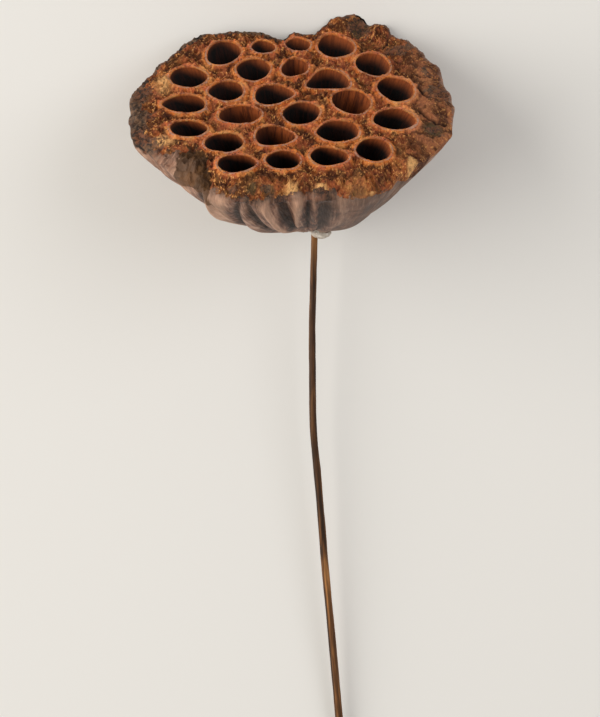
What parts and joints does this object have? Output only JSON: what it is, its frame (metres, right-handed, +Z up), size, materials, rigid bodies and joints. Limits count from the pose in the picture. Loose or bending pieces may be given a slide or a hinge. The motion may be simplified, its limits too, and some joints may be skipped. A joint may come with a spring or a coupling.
{
  "type": "dried lotus pod",
  "caption": "Dried bowl-shaped lotus seed pod with open seed cells and folded skin, glued to a slim curved stick, lying on its side.",
  "frame": {"origin": "centre of the part's box, on the surface that it lies on", "axes": "+Y along the stick towards the pod, +X across the seed face, +Z up"},
  "size_m": [0.1008, 0.2672, 0.0792],
  "materials": {
    "pod": "dry, spongy seed face and satin wrinkled skin",
    "stem": "smooth, dull sheen",
    "glue": "cloudy, slightly glossy"
  },
  "bodies": {
    "root": {"seed_pod": "pod", "stem": "stem", "glue_bead": "glue"}
  },
  "joints": []
}
